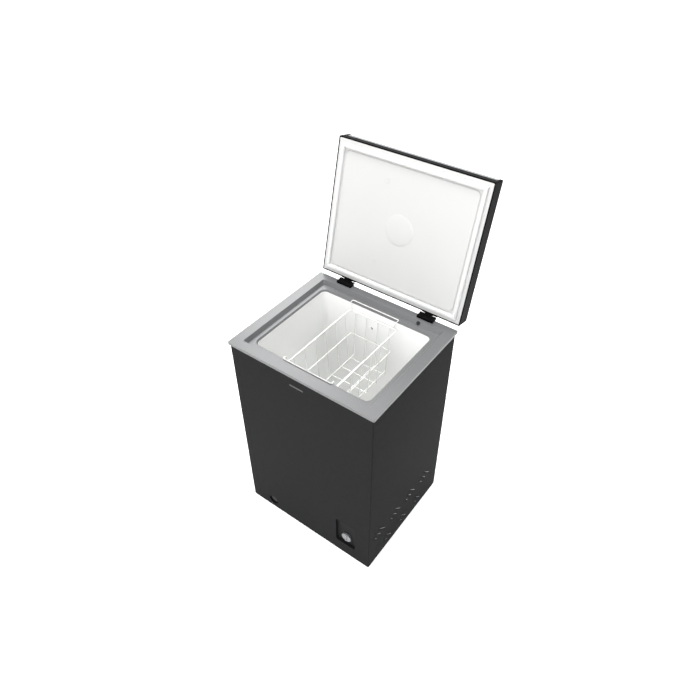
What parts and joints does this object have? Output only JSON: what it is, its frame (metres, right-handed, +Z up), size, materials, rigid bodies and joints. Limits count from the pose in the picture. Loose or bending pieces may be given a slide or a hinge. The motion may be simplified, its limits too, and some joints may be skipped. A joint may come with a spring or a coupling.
{
  "type": "chest freezer",
  "caption": "Compact chest freezer: black steel cabinet, grey collar, hinged insulated lid leaning open, hanging wire basket, dial, drain and compressor bay.",
  "frame": {"origin": "on the floor, midway between the four feet, under the middle of the cabinet", "axes": "+X to the right as seen from the front, +Y towards the back where the lid hinges, +Z up"},
  "size_m": [0.545, 0.6238, 1.24],
  "materials": {
    "black_steel": "satin",
    "galvanised_steel": "satin",
    "insulation": "matte",
    "white_liner": "satin",
    "grey_collar": "satin",
    "black_plastic": "matte",
    "dark_plastic": "matte",
    "white_plastic": "satin",
    "grey_plastic": "satin",
    "gasket_rubber": "matte",
    "black_rubber": "matte",
    "aluminium_tube": "satin",
    "copper_tube": "satin",
    "compressor_black": "gloss",
    "zinc_screws": "satin",
    "hinge_black": "satin",
    "white_wire": "gloss",
    "lid_black": "satin"
  },
  "bodies": {
    "cabinet": {"cabinet_shell": "black_steel", "rear_panel": "galvanised_steel", "base_pan": "galvanised_steel", "bay_panel": "galvanised_steel", "foam_body": "insulation", "liner": "white_liner", "collar": "grey_collar", "collar_plug": "black_plastic", "sensor_cap": "white_plastic", "evaporator_coil": "aluminium_tube", "condenser_coil": "copper_tube", "compressor": "compressor_black", "compressor_grommets": "black_rubber", "compressor_bolts": "zinc_screws", "relay_cover": "dark_plastic", "filter_drier": "copper_tube", "capillary_tube": "copper_tube", "suction_pipe": "copper_tube", "discharge_pipe": "copper_tube", "liquid_line": "copper_tube", "rear_cover": "dark_plastic", "cover_screws": "zinc_screws", "cord_gland": "black_rubber", "feet": "black_plastic", "control_panel": "dark_plastic", "thermostat_body": "white_plastic", "sensor_tube": "copper_tube", "control_cable": "black_rubber", "badge_plate": "grey_plastic", "drain_tube": "white_plastic", "drain_recess": "dark_plastic", "hinge_base_left": "hinge_black", "hinge_base_right": "hinge_black", "hinge_pins": "zinc_screws", "hinge_body_screws": "zinc_screws"},
    "lid": {"lid_shell": "lid_black", "lid_front_trim": "grey_plastic", "lid_foam": "insulation", "lid_inner_panel": "white_plastic", "lid_gasket": "gasket_rubber", "lid_plugs": "white_plastic", "hinge_leaf_left": "hinge_black", "hinge_leaf_right": "hinge_black", "hinge_lid_screws": "zinc_screws"},
    "thermostat_knob": {"thermostat_dial": "grey_plastic", "thermostat_spindle": "zinc_screws"},
    "drain_cap": {"drain_cap": "black_plastic"},
    "drain_plug": {"drain_plug": "white_plastic"},
    "basket": {"basket": "white_wire"},
    "basket_handle_front": {"basket_handle_front": "white_wire"},
    "basket_handle_rear": {"basket_handle_rear": "white_wire"}
  },
  "joints": [
    {"name": "lid_hinge", "type": "hinge", "parent": "cabinet", "child": "lid", "pos_m": [0, 0.2345, 0.7922], "axis": [-1, 0, 0], "range_deg": [-103.4, 0]},
    {"name": "basket_lift", "type": "slide", "parent": "cabinet", "child": "basket", "axis": [0, 0, 1], "range_m": [0, 0.26]},
    {"name": "handle_front_fold", "type": "hinge", "parent": "basket", "child": "basket_handle_front", "pos_m": [-0.004, -0.165, 0.743], "axis": [-1, 0, 0], "range_deg": [0, 80]},
    {"name": "handle_rear_fold", "type": "hinge", "parent": "basket", "child": "basket_handle_rear", "pos_m": [-0.004, 0.165, 0.743], "axis": [1, 0, 0], "range_deg": [0, 80]},
    {"name": "thermostat_turn", "type": "hinge", "parent": "cabinet", "child": "thermostat_knob", "pos_m": [0.1687, -0.216, 0.1005], "axis": [0, 1, 0], "range_deg": [0, 270]},
    {"name": "drain_cap_pull", "type": "slide", "parent": "cabinet", "child": "drain_cap", "axis": [0, -1, 0], "range_m": [0, 0.04]},
    {"name": "drain_plug_lift", "type": "slide", "parent": "cabinet", "child": "drain_plug", "axis": [0, 0, 1], "range_m": [0, 0.04]}
  ]
}
